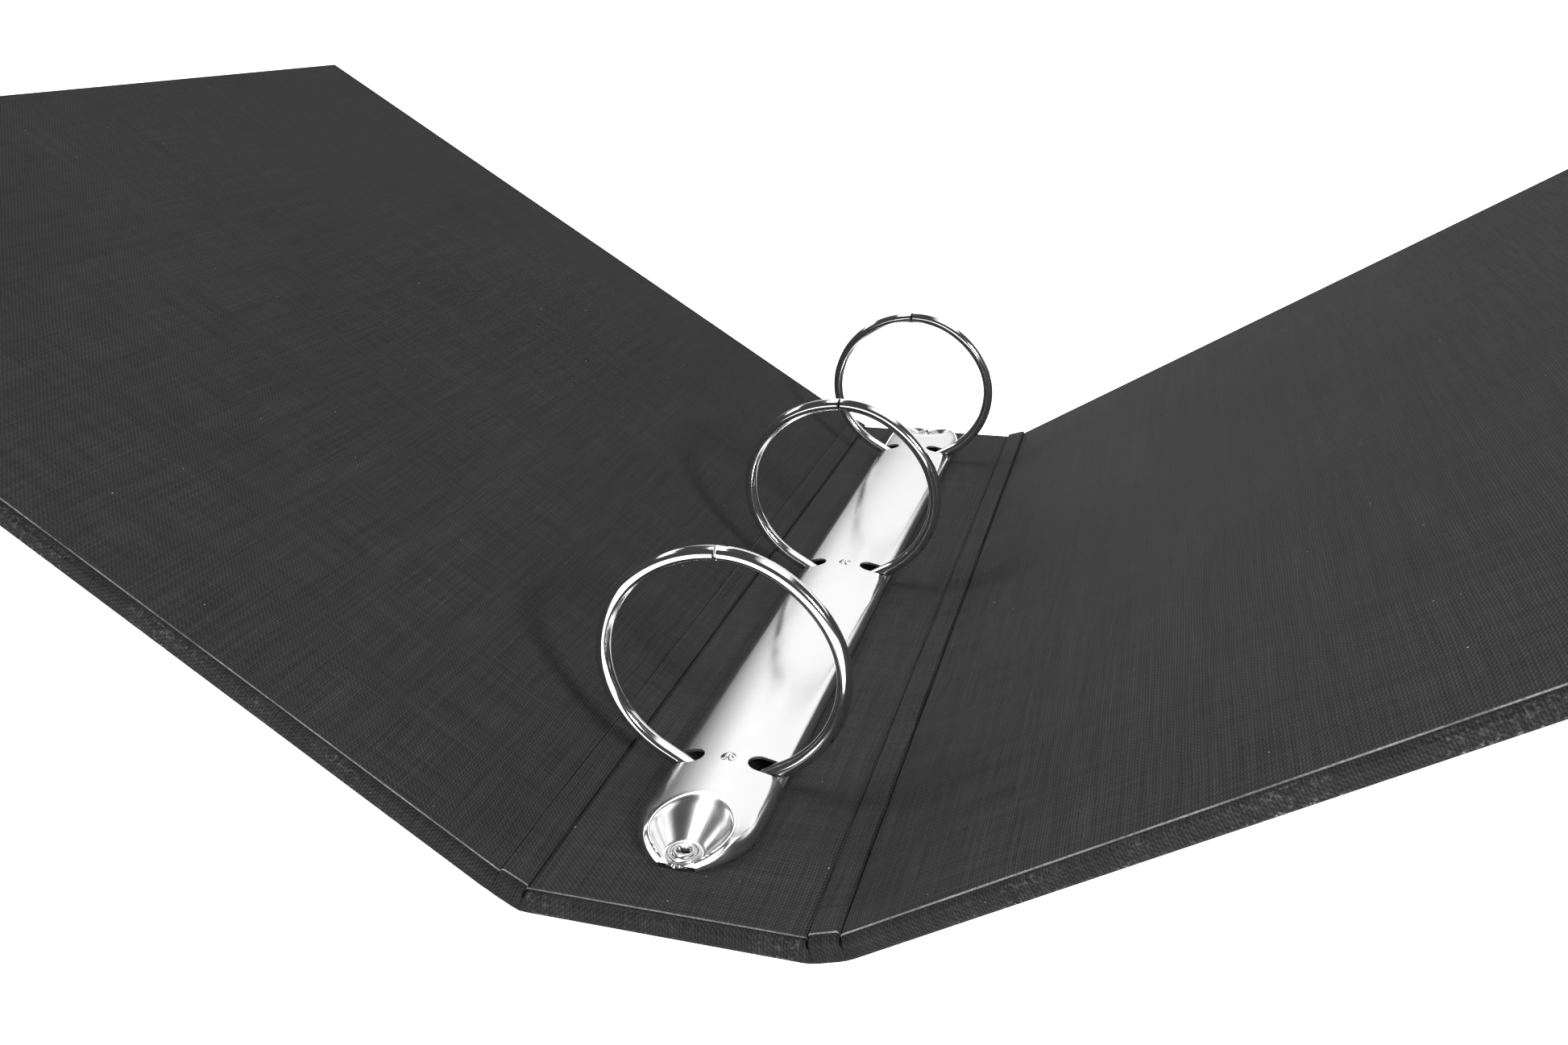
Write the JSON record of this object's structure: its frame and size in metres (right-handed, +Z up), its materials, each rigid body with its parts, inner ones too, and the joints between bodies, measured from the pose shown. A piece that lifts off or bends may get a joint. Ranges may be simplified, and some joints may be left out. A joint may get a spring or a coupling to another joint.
{
  "type": "ring binder",
  "caption": "Cloth-covered ring binder lying open: stiff covers on narrow hinge strips, flat spine, and a riveted metal ring mechanism whose split rings snap open.",
  "frame": {"origin": "on the surface the spine rests on, under the middle of the open binder's bounding box; the spine's own middle is 2.2 mm towards the front cover", "axes": "+X across the open binder towards the back cover, +Y along the spine towards the head, +Z up out of the spine, the side the rings stand on"},
  "size_m": [0.5024, 0.2994, 0.1433],
  "materials": {
    "greyboard": "matte",
    "book_cloth": "matte",
    "lining_cloth": "matte",
    "housing_steel": "polished",
    "plate_steel": "satin",
    "ring_wire": "polished",
    "rivet_steel": "satin"
  },
  "bodies": {
    "spine": {"spine_board": "greyboard", "spine_cloth": "book_cloth", "spine_lining": "lining_cloth", "ring_housing": "housing_steel", "tail_rivet": "rivet_steel", "head_rivet": "rivet_steel"},
    "front_strip": {"front_strip_board": "greyboard", "front_strip_cloth": "book_cloth", "front_strip_lining": "lining_cloth"},
    "front_cover": {"front_cover_board": "greyboard", "front_cover_cloth": "book_cloth", "front_cover_lining": "lining_cloth"},
    "back_strip": {"back_strip_board": "greyboard", "back_strip_cloth": "book_cloth", "back_strip_lining": "lining_cloth"},
    "back_cover": {"back_cover_board": "greyboard", "back_cover_cloth": "book_cloth", "back_cover_lining": "lining_cloth"},
    "left_blade": {"left_hinge_plate": "plate_steel", "left_tail_ring_half": "ring_wire", "left_middle_ring_half": "ring_wire", "left_head_ring_half": "ring_wire"},
    "right_blade": {"right_hinge_plate": "plate_steel", "right_tail_ring_half": "ring_wire", "right_middle_ring_half": "ring_wire", "right_head_ring_half": "ring_wire"}
  },
  "joints": [
    {"name": "front_strip_hinge", "type": "hinge", "parent": "spine", "child": "front_strip", "pos_m": [-0.03063, 0, 0.0004], "axis": [0, 1, 0], "range_deg": [-73, 17]},
    {"name": "front_cover_hinge", "type": "hinge", "parent": "front_strip", "child": "front_cover", "pos_m": [-0.03681, 0, 0.00369], "axis": [0, 1, 0], "range_deg": [-49.5, 35.5]},
    {"name": "back_strip_hinge", "type": "hinge", "parent": "spine", "child": "back_strip", "pos_m": [0.02617, 0, 0.0004], "axis": [0, -1, 0], "range_deg": [-62, 28]},
    {"name": "back_cover_hinge", "type": "hinge", "parent": "back_strip", "child": "back_cover", "pos_m": [0.03287, 0, 0.00245], "axis": [0, -1, 0], "range_deg": [-58.8, 31.2]},
    {"name": "right_blade_hinge", "type": "hinge", "parent": "spine", "child": "right_blade", "pos_m": [0.00737, 0, 0.0056], "axis": [0, -1, 0], "range_deg": [-15, 0]},
    {"name": "left_blade_hinge", "type": "hinge", "parent": "spine", "child": "left_blade", "pos_m": [-0.01543, 0, 0.0056], "axis": [0, 1, 0], "range_deg": [-15, 0]}
  ],
  "couplings": [
    {"joint": "left_blade_hinge", "follows": "right_blade_hinge", "ratio": 1}
  ]
}
